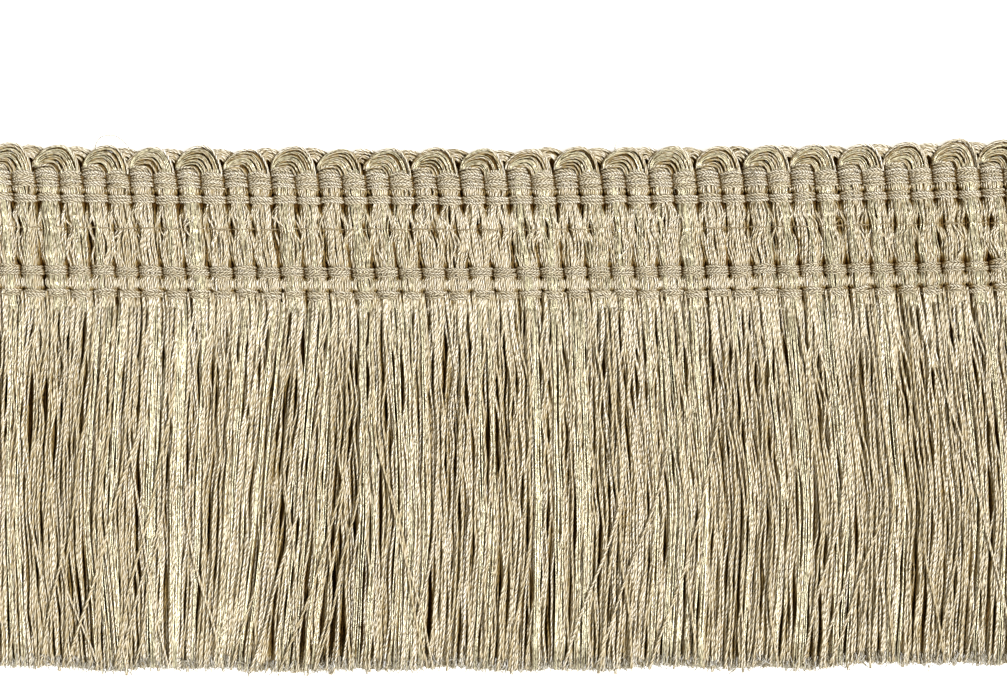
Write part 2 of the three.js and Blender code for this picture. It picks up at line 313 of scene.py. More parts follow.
def makeTwistGroup():
    # Two plies wound round each other: a ridge is the absolute cosine of the turn round the yarn
    # plus the turn along it, so its crowns run slantwise. The grooves between the ridges get a painted
    # shade colour, on top of the bump. Fine streaks follow the fibres of a ply, partly their own grain
    # and partly painted highlights along them.
    group = bpy.data.node_groups.new("plyTwist", "ShaderNodeTree")
    face = group.interface
    for label in ("Crown Color", "Groove Shade Color", "Shaded Color", "Deep Shade Color"):
        face.new_socket(label, in_out="INPUT", socket_type="NodeSocketColor")
    for label in ("Groove Width", "Tone Spread", "Open Plies", "Streaks"):
        face.new_socket(label, in_out="INPUT", socket_type="NodeSocketFloat")
    face.new_socket("Color", in_out="OUTPUT", socket_type="NodeSocketColor")
    face.new_socket("Height", in_out="OUTPUT", socket_type="NodeSocketFloat")
    given = addNode(group, "NodeGroupInput", 0, 0).outputs
    uvMap = addNode(group, "ShaderNodeUVMap", 0, 2, uv_map="yarnMap")
    split = addNode(group, "ShaderNodeSeparateXYZ", 1, 2)
    group.links.new(uvMap.outputs[0], split.inputs[0])
    along, around = split.outputs[0], split.outputs[1]
    stray = noiseNode(group, 2, 7, along, "W", twistShape["strayScale"], twistShape["strayDetail"],
                      noise_dimensions="1D")
    strayed = mathNode(group, "MULTIPLY", 3, 8, stray, twistShape["strayReach"])
    turn = mathNode(group, "ADD", 2, 2, mathNode(group, "ADD", 1, 3, along, strayed), around)
    wave = mathNode(group, "COSINE", 4, 2, mathNode(group, "MULTIPLY", 3, 2, turn, 2 * math.pi))
    stretch = addNode(group, "ShaderNodeCombineXYZ", 3, 3)
    group.links.new(mathNode(group, "MULTIPLY", 2, 3, along, twistShape["fibreAlong"]), stretch.inputs[0])
    group.links.new(mathNode(group, "MULTIPLY", 2, 4, turn, twistShape["fibreRound"]), stretch.inputs[1])
    fibres = noiseNode(group, 4, 3, stretch.outputs[0], "Vector", twistShape["fibreScale"],
                       twistShape["fibreDetail"])
    opening = rampNode(group, 5, 7, stray, *twistShape["opening"])
    looseness = mathNode(group, "MULTIPLY", 6, 7, opening, given["Open Plies"])
    wound = mathNode(group, "ABSOLUTE", 5, 2, wave)
    flattened = mathNode(group, "SUBTRACT", 6, 8, twistShape["openRidge"], wound)
    ridge = mathNode(group, "ADD", 6, 2, wound, mathNode(group, "MULTIPLY", 7, 7, flattened, looseness))
    # painted shade in the grooves: the groove shade colour in the crevices, the crown colour on the ridges
    crowned = rampNode(group, 6, 1, ridge, 0.0, given["Groove Width"],
                       interpolation_type="SMOOTHSTEP")
    ply = mixColours(group, 7, 1, crowned, given["Groove Shade Color"], given["Crown Color"])
    tone = addNode(group, "ShaderNodeAttribute", 4, 5, attribute_name="tone").outputs["Fac"]
    shade = addNode(group, "ShaderNodeAttribute", 4, 6, attribute_name="shade").outputs["Fac"]
    toneFromMiddle = mathNode(group, "SUBTRACT", 5, 5, tone, 0.5)
    toneStep = mathNode(group, "MULTIPLY", 6, 5, toneFromMiddle, given["Tone Spread"])
    # the fibre streaks: partly the fibres' own grain, partly painted highlights along the fibres
    fibreFromMiddle = mathNode(group, "SUBTRACT", 5, 3, fibres, 0.5)
    fibreStep = mathNode(group, "MULTIPLY", 6, 3, fibreFromMiddle, given["Streaks"])
    bright = mathNode(group, "ADD", 8, 3, mathNode(group, "ADD", 7, 3, toneStep, fibreStep), 1.0)
    # each channel is the brightness to its own power, so a dark streak is also warmer than a bright one
    tinted = addNode(group, "ShaderNodeCombineColor", 10, 3)
    for socket, power in zip(tinted.inputs, twistShape["powers"]):
        group.links.new(mathNode(group, "POWER", 9, 3, bright, power), socket)
    varied = mixColours(group, 10, 1, 1.0, ply, tinted.outputs[0], "MULTIPLY")
    # painted shade: by the shade attribute the colour goes from the deep shade colour through the shaded
    # colour to the yarn's own
    raised = rampNode(group, 9, 6, shade, 0.0, twistShape["paintedShade"])
    paintedShade = mixColours(group, 10, 4, raised, given["Deep Shade Color"], given["Shaded Color"])
    colour = mixColours(group, 11, 1, rampNode(group, 9, 7, shade, twistShape["lit"], 1.0), paintedShade, varied)
    relief = mathNode(group, "MULTIPLY", 7, 4, fibres, twistShape["fibreRelief"])
    height = mathNode(group, "ADD", 8, 5, ridge, relief)
    end = addNode(group, "NodeGroupOutput", 12, 1)
    group.links.new(colour, end.inputs["Color"])
    group.links.new(height, end.inputs["Height"])
    return group


twistGroup = makeTwistGroup()


def newMaterial(name):
    material = bpy.data.materials.new(name)
    material.use_nodes = True
    return material, material.node_tree, material.node_tree.nodes["Principled BSDF"]


def yarnMaterial(name, look):
    # the twist group with this yarn's own colours and numbers, and its ridges as a bump
    material, tree, shader = newMaterial(name)
    setInputs(shader, look["shader"])
    twist = addNode(tree, "ShaderNodeGroup", -4, 0, node_tree=twistGroup)
    setInputs(twist, look["twist"])
    bump = addNode(tree, "ShaderNodeBump", -2, 2)
    setInputs(bump, {"Strength": 1.0, "Distance": look["relief"] / 1000})
    tree.links.new(twist.outputs["Color"], shader.inputs["Base Color"])
    tree.links.new(twist.outputs["Height"], bump.inputs["Height"])
    tree.links.new(bump.outputs[0], shader.inputs["Normal"])
    return material


def metallicMaterial(look):
    # a flat metallised thread: its colour goes from dark to light with a noise along and round it,
    # partly its own pale gold and partly painted glints, and the shade attribute mixes in painted shade
    material, tree, shader = newMaterial("metallicThread")
    setInputs(shader, look["shader"])
    uvMap = addNode(tree, "ShaderNodeUVMap", -6, 0, uv_map="yarnMap")
    glintSpeckle = noiseNode(tree, -5, 0, uvMap.outputs[0], "Vector", look["scale"], look["detail"])
    lightness = rampNode(tree, -4, 0, glintSpeckle, *look["glintSpeckle"])
    colour = mixColours(tree, -3, 0, lightness, look["dark"], look["light"])
    shade = addNode(tree, "ShaderNodeAttribute", -3, 2, attribute_name="shade")
    shaded = mixColours(tree, -2, 0, shade.outputs["Fac"], look["deep"], colour)
    tree.links.new(shaded, shader.inputs["Base Color"])
    return material


specularTint = (1.0, 0.88, 0.62, 1.0)
yarnLooks = {
    "weft": {
        "twist": {
            "Crown Color": (0.93, 0.89, 0.785, 1), "Groove Shade Color": (0.31, 0.232, 0.102, 1),
            "Shaded Color": (0.31, 0.22, 0.078, 1), "Deep Shade Color": (0.08, 0.031, 0.001, 1),
            "Groove Width": 0.95, "Tone Spread": 0.34, "Open Plies": 0.2, "Streaks": 0.8,
        },
        "shader": {"Roughness": 0.4, "Specular IOR Level": 0.35, "Specular Tint": specularTint},
        "relief": 0.2,
    },
    "binder": {
        "twist": {
            "Crown Color": (0.79, 0.75, 0.64, 1), "Groove Shade Color": (0.17, 0.128, 0.066, 1),
            "Shaded Color": (0.28, 0.19, 0.07, 1), "Deep Shade Color": (0.07, 0.022, 0.001, 1),
            "Groove Width": 0.95, "Tone Spread": 0.4, "Open Plies": 0.1, "Streaks": 0.5,
        },
        "shader": {"Roughness": 0.42, "Specular IOR Level": 0.35, "Specular Tint": specularTint},
        "relief": 0.2,
    },
    "cutEnd": {
        "twist": {
            "Crown Color": (0.68, 0.67, 0.62, 1), "Groove Shade Color": (0.3, 0.27, 0.2, 1),
            "Shaded Color": (0.34, 0.31, 0.24, 1), "Deep Shade Color": (0.12, 0.08, 0.04, 1),
            "Groove Width": 0.8, "Tone Spread": 1.1, "Open Plies": 0.6, "Streaks": 0.6,
        },
        "shader": {"Roughness": 0.5, "Specular IOR Level": 0.4, "Specular Tint": specularTint},
        "relief": 0.02,
    },
}
metallicLook = {
    "dark": (0.14, 0.105, 0.03, 1), "light": (0.97, 0.93, 0.70, 1), "deep": (0.05, 0.03, 0.01, 1),
    "shader": {"Metallic": 0.35, "Roughness": 0.3}, "glintSpeckle": (0.38, 0.52), "scale": 3.2, "detail": 2.0,
}
weftYarn = yarnMaterial("weftYarn", yarnLooks["weft"])
binderYarn = yarnMaterial("binderYarn", yarnLooks["binder"])
cutEnd = yarnMaterial("cutEnd", yarnLooks["cutEnd"])
metallicThread = metallicMaterial(metallicLook)
print("materials made")


# The brush: layers of cut strands, all fused under the lowest band and swaying together

# Waves are pairs of length and reach. Spans are the drops where smooth steps start and end.
brush = {
    "rootDrop": 21.3, "endDrop": 76.3,
    "leanEnd": 24,  # down to this drop the strands lean like the heading
    "crowding": 1.15,  # above 1, the steps of a strand are shorter near its root
    "squeeze": 0.1,  # how far the roots are drawn to the middle of their column
    "squeezeSpan": (22.1, 25.5), "liftSpan": (22.0, 25.5),
    "growthSpan": (22.5, 32),  # where waves, clumps and uneven heights come in
    "rootShuffle": 1.4,  # how far a strand starts from its place among the others
    "shuffleSpan": (23, 38),
    "calm": 0.2,  # share of the waves in a layer that isn't clumped
    "strandWaves": [(18, 0.15), (8.0, 0.06)], "upperWaves": [(10, 0.16)],
    "upperWaveSpan": (23, 30, 38, 56), "heightWaves": [(17, 0.128), (8, 0.088)],
    "levelSpread": 0.35, "thickness": (-0.18, 0.12), "clumpWidth": (0.5, 1.9), "clumpDraws": 400,
    "clumpMargin": 3, "clumpSteps": 120,
    "clumpPull": (0.12, 0.26),  # near the band and near the cut end
    "clumpSpan": (30, 72), "clumpWaves": [(24, 0.07), (11, 0.05), (6.5, 0.02)],
    "ownSlope": 0.027,  # how much the strands differ in lean
    "ownMiddle": 50, "ownSpan": (24, 34), "slopeSteps": 200, "upperSpan": (22, 26, 48, 55),
    "lowerSpan": (50, 60),
    # the lean changes along the trim; mean, reach, middle and width of that change
    "upperSlope": (0.035, 0.065, 5, 30), "lowerSlope": (0.0, -0.05, -48, 6),
    "slopeZones": [  # gentle lean of the strands, sideways mm for each mm of drop
        {"middle": -30.0, "reach": 8.0, "upper": -0.09, "lower": -0.06},
        {"middle": -16.0, "reach": 5.0, "upper": 0.05, "lower": 0.0},
        {"middle": 10.0, "reach": 7.0, "upper": -0.02, "lower": 0.04},
        {"middle": -56.0, "reach": 7.0, "upper": -0.03, "lower": 0.04},
    ],
}
layerKeys = (
    "group", "rootHeight", "height", "perColumn", "radius", "steps", "scatter", "clumped", "follow",
)
brushLayers = [dict(zip(layerKeys, row)) for row in (
    ("brushBack", 0.27, 0.28, 7, 0.27, 6, 0.0, 0.0, 0.2),
    ("brushBack", 0.62, 0.72, 7, 0.27, 8, 0.1, 0.0, 0.3),
    ("brushBack", 0.98, 1.18, 7, 0.23, 10, 0.2, 0.3, 0.5),
    ("brushMiddle", 1.34, 1.66, 7, 0.21, 16, 0.35, 0.6, 0.7),
    ("brushMiddle", 1.72, 2.14, 8, 0.215, 24, 0.45, 0.9, 0.85),
    ("brushFront", 2.12, 2.54, 8, 0.215, 32, 0.5, 1.0, 1.0),
)]
slopeTable = np.linspace(brush["rootDrop"], trim["lowestDrop"], brush["slopeSteps"])
tableStep = slopeTable[1] - slopeTable[0]
upperReach = np.cumsum(plateau(slopeTable, *brush["upperSpan"])) * tableStep
lowerReach = np.cumsum(ramp(slopeTable, *brush["lowerSpan"])) * tableStep


def strandSlopes(x):
    # a broad change from left to right by a hyperbolic tangent, plus bell curves at a few places
    upper, lower = (
        mean + reach * np.tanh((x - middle) / width)
        for mean, reach, middle, width in (brush["upperSlope"], brush["lowerSlope"])
    )
    for zone in brush["slopeZones"]:
        bell = np.exp(-(((x - zone["middle"]) / zone["reach"]) ** 2))
        upper = upper + zone["upper"] * bell
        lower = lower + zone["lower"] * bell
    return upper, lower


def swayed(x, drop, follow=1.0):
    # the slopes add up along the strand; the strands underneath follow those on top only in part
    upper, lower = strandSlopes(x)
    shift = upper * np.interp(drop, slopeTable, upperReach)
    shift = shift + lower * np.interp(drop, slopeTable, lowerReach)
    return leaned(x, np.minimum(drop, brush["leanEnd"])) + shift * follow


def rootSqueeze(x, drop):
    # near the foot the strands are drawn together into their columns
    column = np.clip(np.round((x + halfLength) / pitch - 0.5), 0, columns - 1)
    middle = (column + 0.5) * pitch - halfLength
    hold = 1 - ramp(drop, *brush["squeezeSpan"])
    return x + (middle - x) * brush["squeeze"] * hold


cutEdge = {
    "short": 0.35,
    "waves": [(5.1, 0.25, 0.0), (2.3, 0.2, 1.0)],   # mm for each radian, reach and phase
    "scatter": 0.5,
    "longShare": 0.05,
    "long": (0.2, 0.8),
}


def strandEnds(rng, x):
    # the cut edge: slow sine waves, a little scatter, and a few strands left long
    slow = sum(reach * np.sin(x / length + phase) for length, reach, phase in cutEdge["waves"])
    long = (rng.random(len(x)) < cutEdge["longShare"]) * rng.uniform(*cutEdge["long"], len(x))
    return brush["endDrop"] - cutEdge["short"] + slow - cutEdge["scatter"] * rng.random(len(x)) + long


clumpRng = np.random.default_rng(trim["seed"] + 1)
clumpEnd = halfLength + brush["clumpMargin"]
clumpEdges = np.cumsum(clumpRng.uniform(*brush["clumpWidth"], brush["clumpDraws"])) - clumpEnd
clumpEdges = clumpEdges[clumpEdges < clumpEnd]
clumpTable = np.linspace(brush["rootDrop"], trim["lowestDrop"], brush["clumpSteps"])
clumpMoves = wander(clumpRng, len(clumpEdges) + 1, clumpTable[None], brush["clumpWaves"])


def clumped(x, drop):
    # strands hang in clumps: each is drawn to the middle of its clump and moves sideways with it
    clump = np.clip(np.searchsorted(clumpEdges, x), 1, len(clumpEdges) - 1)
    middle = (clumpEdges[clump] + clumpEdges[clump - 1]) / 2
    row = np.clip((drop - clumpTable[0]) / (clumpTable[1] - clumpTable[0]), 0, len(clumpTable) - 1)
    pull = np.interp(drop, brush["clumpSpan"], brush["clumpPull"])
    return (middle - x) * pull + clumpMoves[clump, row.astype(int)]


def brushStrands(rng, layer):
    count = columns * layer["perColumn"]
    spacing = pitch / layer["perColumn"]
    x = (np.arange(count) + 0.5 + rng.uniform(-1, 1, count) * layer["scatter"]) * spacing - halfLength
    ends = strandEnds(rng, x)
    t = np.linspace(0, 1, layer["steps"] + 1) ** brush["crowding"]
    drop = brush["rootDrop"] + (ends - brush["rootDrop"])[:, None] * t
    growth = ramp(drop, *brush["growthSpan"])
    rooted = ramp(drop, *brush["shuffleSpan"])
    restless = brush["calm"] + (1 - brush["calm"]) * layer["clumped"]
    across = rootSqueeze(x[:, None], drop)
    across = across + wander(rng, count, drop, brush["strandWaves"]) * growth * restless
    across = across + clumped(x[:, None], drop) * growth * layer["clumped"]
    across = across + rng.normal(0, brush["rootShuffle"], (count, 1)) * layer["scatter"] * (1 - rooted)
    upper = plateau(drop, *brush["upperWaveSpan"])
    across = across + wander(rng, count, drop, brush["upperWaves"]) * upper * layer["clumped"]
    ownSlope = rng.normal(0, brush["ownSlope"], (count, 1)) * layer["clumped"]
    across = across + ownSlope * (drop - brush["ownMiddle"]) * ramp(drop, *brush["ownSpan"])
    lift = ramp(drop, *brush["liftSpan"])
    height = layer["rootHeight"] + (layer["height"] - layer["rootHeight"]) * lift
    level = rng.normal(0, layer["scatter"] * brush["levelSpread"], (count, 1))
    height = height + (wander(rng, count, drop, brush["heightWaves"]) + level) * growth
    radius = layer["radius"] * (1 + layer["clumped"] * rng.uniform(*brush["thickness"], (count, 1)))
    height = np.clip(height, radius + trim["clearance"], trim["highest"])
    path = place(swayed(across, drop, layer["follow"]), drop, height)
    return tubes(path, radius, 4, rng.random(count), 1.0)


rng = np.random.default_rng(trim["seed"])
brushBatches = {}
for layer in brushLayers:
    brushBatches.setdefault(layer["group"], []).append(brushStrands(rng, layer))

strays = {
    "count": 42, "radius": 0.2, "thickness": (0.85, 1.1), "steps": 14, "shade": 0.85,
    "span": (-76, 74), "leftSpan": (-72, -18), "leftShare": 0.3,
    "rootDrop": 23.5, "heights": (2.6, 2.94), "liftSpan": (24, 32), "heightWaves": [(19, 0.08)],
    "startDrops": (30, 66), "slope": (0.06, 0.34), "leftwards": 0.65, "onset": 3,
    "waves": [(21, 0.25)], "waveSpan": (26, 40),
}


def strayStrands(rng):
    # A strand follows the others and then crosses them on a slant: its slope times the square of the
    # way past its start, over that way plus the onset.
    count = strays["count"]
    atLeft = rng.random(count) < strays["leftShare"]
    x = np.where(atLeft, rng.uniform(*strays["leftSpan"], count), rng.uniform(*strays["span"], count))
    root = strays["rootDrop"]
    drop = root + (strandEnds(rng, x) - root)[:, None] * np.linspace(0, 1, strays["steps"] + 1)
    begin = rng.uniform(*strays["startDrops"], (count, 1))
    side = np.where(rng.random((count, 1)) < strays["leftwards"], -1, 1)
    slope = side * rng.uniform(*strays["slope"], (count, 1))
    past = np.maximum(drop - begin, 0)
    across = swayed(x[:, None], drop) + slope * past * past / (past + strays["onset"])
    across = across + wander(rng, count, drop, strays["waves"]) * ramp(drop, *strays["waveSpan"])
    low, high = strays["heights"]
    height = low + (high - low) * ramp(drop, *strays["liftSpan"])
    path = place(across, drop, height + wander(rng, count, drop, strays["heightWaves"]))
    radius = strays["radius"] * rng.uniform(*strays["thickness"], (count, 1))
    return tubes(path, radius, 5, rng.random(count), strays["shade"])


brushBatches["brushFront"].append(strayStrands(rng))
for name, batches in brushBatches.items():
    makePiece(name, batches, weftYarn, ["brush_skirt"])

brushMetal = {
    "groups": 62, "perGroup": 3, "spread": 0.35, "margin": 1, "radius": 0.085, "steps": 14,
    "rootDrop": 22.6, "rootHeight": 2.15, "heights": (2.5, 3.0), "liftEnd": 26,
    "waves": [(40, 0.12), (13, 0.05)],
}


def metallicStrands(rng):
    # a few lie side by side
    groups, perGroup = brushMetal["groups"], brushMetal["perGroup"]
    count = groups * perGroup
    reach = halfLength - brushMetal["margin"]
    x = np.repeat(rng.uniform(-reach, reach, groups), perGroup)
    x = x + rng.normal(0, brushMetal["spread"], count)
    root, low = brushMetal["rootDrop"], brushMetal["rootHeight"]
    drop = root + (strandEnds(rng, x) - root)[:, None] * np.linspace(0, 1, brushMetal["steps"] + 1)
    height = rng.uniform(*brushMetal["heights"], (count, 1))
    height = low + (height - low) * ramp(drop, root, brushMetal["liftEnd"])
    across = swayed(rootSqueeze(x[:, None], drop), drop) + wander(rng, count, drop, brushMetal["waves"])
    return tubes(place(across, drop, height), brushMetal["radius"], 4, rng.random(count), 1.0)


makePiece("brushMetallic", [metallicStrands(rng)], metallicThread, ["brush_skirt"])

fray = {
    "perColumn": 64, "radius": 0.09, "taper": (1.0, 0.9, 0.4), "margin": 0.5, "shade": 0.95,
    "cover": (0.1, 1.4), "length": (0.3, 1.2), "run": (-0.4, 0.25, 1.0), "splay": 0.8,
    "heightStart": 0.2, "heightReach": 2.85, "rise": 0.15, "lowest": 0.08,
}


def frayedTips(rng):
    # short loose fibres that spread from the cut ends
    count = fray["perColumn"] * columns
    reach = halfLength - fray["margin"]
    x = rng.uniform(-reach, reach, count)
    tip = strandEnds(rng, x) - rng.uniform(*fray["cover"], count)
    run = rng.uniform(*fray["length"], (count, 1)) * np.array(fray["run"])
    slant = rng.normal(0, fray["splay"], (count, 1))
    drop = tip[:, None] + run
    across = swayed(x[:, None], tip[:, None]) + slant * np.maximum(run, 0)
    height = fray["heightStart"] + fray["heightReach"] * np.sqrt(rng.random((count, 1)))
    height = height + rng.normal(0, fray["rise"], (count, 1)) * np.maximum(run, 0)
    path = place(across, drop, np.maximum(height, fray["lowest"]))
    return tubes(path, fray["radius"] * np.array(fray["taper"]), 3, rng.random(count), fray["shade"])


makePiece("brushFray", [frayedTips(rng)], cutEnd, ["brush_skirt"])
print("brush made")


# The gimp heading: a bundle of weft yarn in each column, bulging between the bands that bind it

gimp = {
    "yarns": 11, "radius": 0.19, "backYarns": 9, "backRadius": 0.24, "topDrop": 3.4,
    "footDrop": 26.0, "steps": 36, "innerSteps": 20, "backSteps": 10, "backTop": 2.6,
    "backInset": 0.2, "backHeights": (0.25, 0.95), "backShade": 0.9,
    "sink": 0.34,  # how far the inner sheet lies below the face
    "innerReach": 0.9, "innerYarns": 9,
    "shuffle": 0.05,  # how far a yarn changes its place in the bundle, as a share of the half width
    "crossingShare": 0.1,  # yarns that cross over some of the others
    "crossingReach": 0.5, "freedom": np.array([0.5, 0.5, 1.0, 1.0, 1.0, 0.6, 0.3, 0.6]),
    "spread": 0.06,  # how much the width of a bundle varies
    "sideMove": 0.2,  # how far a whole bundle strays sideways between the bands
    "moveShares": np.array([0.2, 0.2, 0.6, 0.5, 1.3, 0.4, 0.3, 0.3]), "widest": 1.08,
    "riding": 0.16,  # how far a yarn rises where it crosses others
    "looseWaves": [(3.6, 0.08)], "looseRise": [(4.0, 0.13)], "leastRise": 0.2, "footDip": 0.9,
    "dipStart": 22.8, "innerPull": 0.25, "thickness": (0.9, 1.1), "slitShade": (0.5, 1.0),
    "slitSpan": (8.2, 9.0, 16.8, 17.5),
    "slitEdge": (0.87, 0.98),  # places across the bundle between which the shade sets in,
    "slitHeld": (0.18, 0.1),  # and how much nearer its middle they are where it is held
}
slitRng = np.random.default_rng(trim["seed"] + 2)
knots = {
    "pull": 0.2,  # how far a yarn is drawn to the middle of its group
    "span": (9.4, 12.0, 14.4), "shiftAt": (-45, -34, 43, 50, 60),
    "shift": (0.45, 0.3, -3.6, -3.8, -2.7),
}
crossingDrops = [3.0, 7.6, 9.9, 12.0, 14.2, 17.4, 20.0, 23.0]
bundleMoves = rng.normal(0, gimp["sideMove"], (columns, len(crossingDrops)))
bundleMoves *= gimp["moveShares"]
bundleSpread = 1 + rng.normal(0, gimp["spread"], bundleMoves.shape)


def knotShift(x):
    # the fine thread's groups drift against the columns, in straight stretches
    return np.interp(x, knots["shiftAt"], knots["shift"])


def gathered(x, drop):
    # a yarn's place in its group, from -1 to 1, how firmly it is held, and its way to the middle
    shift = knotShift(x)
    middle = (np.floor((x - shift + halfLength) / pitch) + 0.5) * pitch - halfLength + shift
    start, tight, end = knots["span"]
    hold = plateau(drop, start, tight, tight, end)
    return (x - middle) / (pitch / 2), hold, (middle - x) * knots["pull"] * hold


def bundleHeight(share, drop):
    # the bundle's face is round: it falls from its top with the cube of the distance from the middle
    top = eased(drop, profileDrops, profileTops)
    return top - (top - trim["innerHeight"]) * eased(drop, profileDrops, profileRounds) * np.abs(share) ** 3


def columnYarns(rng, yarns, sink, reach, steps):
    # one sheet of yarn in each column, at or under the face of its bundle
    count = columns * yarns
    middle = np.repeat(columnMiddles, yarns)[:, None]
    start = np.tile(np.linspace(-reach, reach, yarns), columns)[:, None]
    drop = np.linspace(gimp["topDrop"], gimp["footDrop"], steps + 1)[None]
    shifts = rng.normal(0, gimp["shuffle"], (count, len(crossingDrops)))
    crossing = rng.random(shifts.shape) < gimp["crossingShare"]
    shifts = shifts + crossing * rng.normal(0, gimp["crossingReach"], shifts.shape)
    shifts = shifts * gimp["freedom"]
    knot = np.stack([eased(drop[0], crossingDrops, row) for row in np.eye(len(crossingDrops))])
    share = np.clip(start + shifts @ knot, -gimp["widest"], gimp["widest"])
    riding = gimp["riding"] * (np.abs(shifts) @ knot)
    half = eased(drop, profileDrops, profileHalves) - gimp["radius"]
    half = half * np.repeat(bundleSpread @ knot, yarns, axis=0)
    loose = eased(drop, profileDrops, profileLoose)
    knotShare, hold, drawn = gathered(middle + start * pitch / 2, drop)
    edge = share * (1 - hold) + knotShare * hold
    height = bundleHeight(edge, drop) - gimp["radius"] - sink + riding * (sink == 0)
    height = height + wander(rng, count, drop, gimp["looseRise"]) * (gimp["leastRise"] + loose)
    height = height - gimp["footDip"] * ramp(drop, gimp["dipStart"], gimp["footDrop"])
    stray = wander(rng, count, drop, gimp["looseWaves"]) * loose
    sideways = np.repeat(bundleMoves @ knot, yarns, axis=0)
    across = middle + share * half + sideways + stray + drawn * (1 if sink == 0 else gimp["innerPull"])
    path = place(leaned(across, drop), drop, np.minimum(height, trim["highest"]))
    radius = gimp["radius"] * rng.uniform(*gimp["thickness"], (count, 1))
    # painted shade: the yarn at the right edge of a bundle is darkened, as it lies in the shade of the slit
    # between two bundles
    setsIn, full = (at - held * hold for at, held in zip(gimp["slitEdge"], gimp["slitHeld"]))
    slit = ramp(edge, setsIn, full) * plateau(drop, *gimp["slitSpan"])
    slit = slit * slitRng.uniform(*gimp["slitShade"], (count, 1))
    return tubes(path, radius, 4, rng.random(count), (1 - slit)[:, :, None])


def backYarns(rng):
    # the bundles' backs, side by side and flat on the surface, and yarn inside that fills them out
    yarns = gimp["backYarns"]
    count = columns * yarns
    middle = np.repeat(columnMiddles, yarns)[:, None]
    share = np.tile(np.linspace(-1, 1, yarns), columns)[:, None]
    drop = np.linspace(gimp["backTop"], gimp["footDrop"], gimp["backSteps"] + 1)[None]
    half = eased(drop, profileDrops, profileHalves) - gimp["radius"]
    batches = []
    for height, width in zip(gimp["backHeights"], (pitch / 2 - gimp["backInset"], half)):
        path = place(leaned(middle + share * width, drop), drop, height)
        batches.append(tubes(path, gimp["backRadius"], 4, rng.random(count), gimp["backShade"]))
    return batches


faceSheet = columnYarns(rng, gimp["yarns"], 0.0, 1.0, gimp["steps"])
innerSheet = columnYarns(
    rng, gimp["innerYarns"], gimp["sink"], gimp["innerReach"], gimp["innerSteps"],
)
makePiece("columnYarns", [faceSheet], weftYarn, ["gimp_heading"])
makePiece("columnFilling", [innerSheet], weftYarn, ["gimp_heading"])
makePiece("columnBacks", backYarns(rng), weftYarn, ["gimp_heading"])

# The loops: ellipses of yarn from one column over to the next. Each pair gives the innermost and
# the outermost yarn of a loop: where it leaves and where it comes down, from the middle between
# its two columns, and how far it rises above the loop's foot. A layer is a height, a painted shade
# and whether it is filling; the filling layers of the front loops are painted dark as shade between the
# yarns.
frontLoop = {
    "first": 0, "yarns": 8, "radius": 0.175, "steps": 16, "skew": 0.25, "flankShade": 0.25,
    "layers": ((2.5, 0.88, 0), (2.05, 0.2, 1), (1.5, 0.1, 1)),
    "left": (-2.6, -3.2), "right": (0.1, 3.02), "rise": (0.35, 3.12), "fall": 0.9,
}
backLoop = {
    "first": 1, "yarns": 8, "radius": 0.2, "steps": 11, "skew": -0.25, "flankShade": 0.2,
    "layers": ((1.55, 1.0, 0), (0.95, 0.5, 1), (0.35, 0.8, 1)),
    "left": (-0.9, -2.6), "right": (0.5, 2.9), "rise": (1.55, 2.95), "fall": 0.0,
}
# a web of yarn under the loops, painted in deep shade so the eyes between the loops are dark
loopWeb = {
    "first": 1, "yarns": 8, "radius": 0.27, "steps": 8, "skew": -0.1, "flankShade": 0.0,
    "layers": ((0.75, 0.1, 1), (0.35, 0.1, 1)),
    "left": (-0.2, -2.2), "right": (0.2, 2.2), "rise": (0.1, 2.5), "fall": 0.0,
}
arcs = {
    "foot": 3.3,
    "edge": 0.45,  # how much lower the outermost yarn lies at the crown
    "dips": (0.35, 0.45),  # how far the two feet go down, and the cosines where that starts
    "dipStarts": (0.5, 0.7), "blurRise": 0.5, "blurHeight": 0.3,
    "least": 1.35,  # the least height, in radii
    "sizeSpread": 0.05, "shiftSpread": 0.1, "flankShadeAt": 0.7, "flankShadeWidth": 0.6,
    "thickness": (0.85, 1.12),
    # of the face and of the filling below it
    "blur": (0.18, 0.04), "swell": (1.0, 1.2), "outerShade": (1.3, 1.5),
}


def loopPath(loop, middles, rank, size, blur, level):
    # x follows minus the cosine and the rise follows the sine of an angle from 0 to half a turn,
    # with the crown drawn to one side by the sine squared, and the feet dip under the band
    angle = np.linspace(0, np.pi, loop["steps"] + 1)
    left = np.interp(rank, (0, 1), loop["left"]) + blur
    right = np.interp(rank, (0, 1), loop["right"]) + blur
    rise = np.interp(rank, (0, 1), loop["rise"]) * size + arcs["blurRise"] * blur
    reach = (right - left) / 2
    crownShift = loop["skew"] * reach * np.sin(angle) ** 2
    x = middles + (left + right) / 2 - reach * np.cos(angle) + crownShift
    drop = arcs["foot"] - rise * np.sin(angle) + loop["fall"] * np.maximum(-np.cos(angle), 0) ** 2
    edge = arcs["edge"] * rank**4 * np.sin(angle)
    feet = zip(arcs["dips"], arcs["dipStarts"], (np.cos(angle), -np.cos(angle)))
    dip = sum(depth * ramp(towards, begin, 1) for depth, begin, towards in feet)
    height = level - dip - edge + arcs["blurHeight"] * blur
    height = np.maximum(height, loop["radius"] * arcs["least"])
    return place(leaned(x, drop), drop, height).reshape(-1, loop["steps"] + 1, 3)


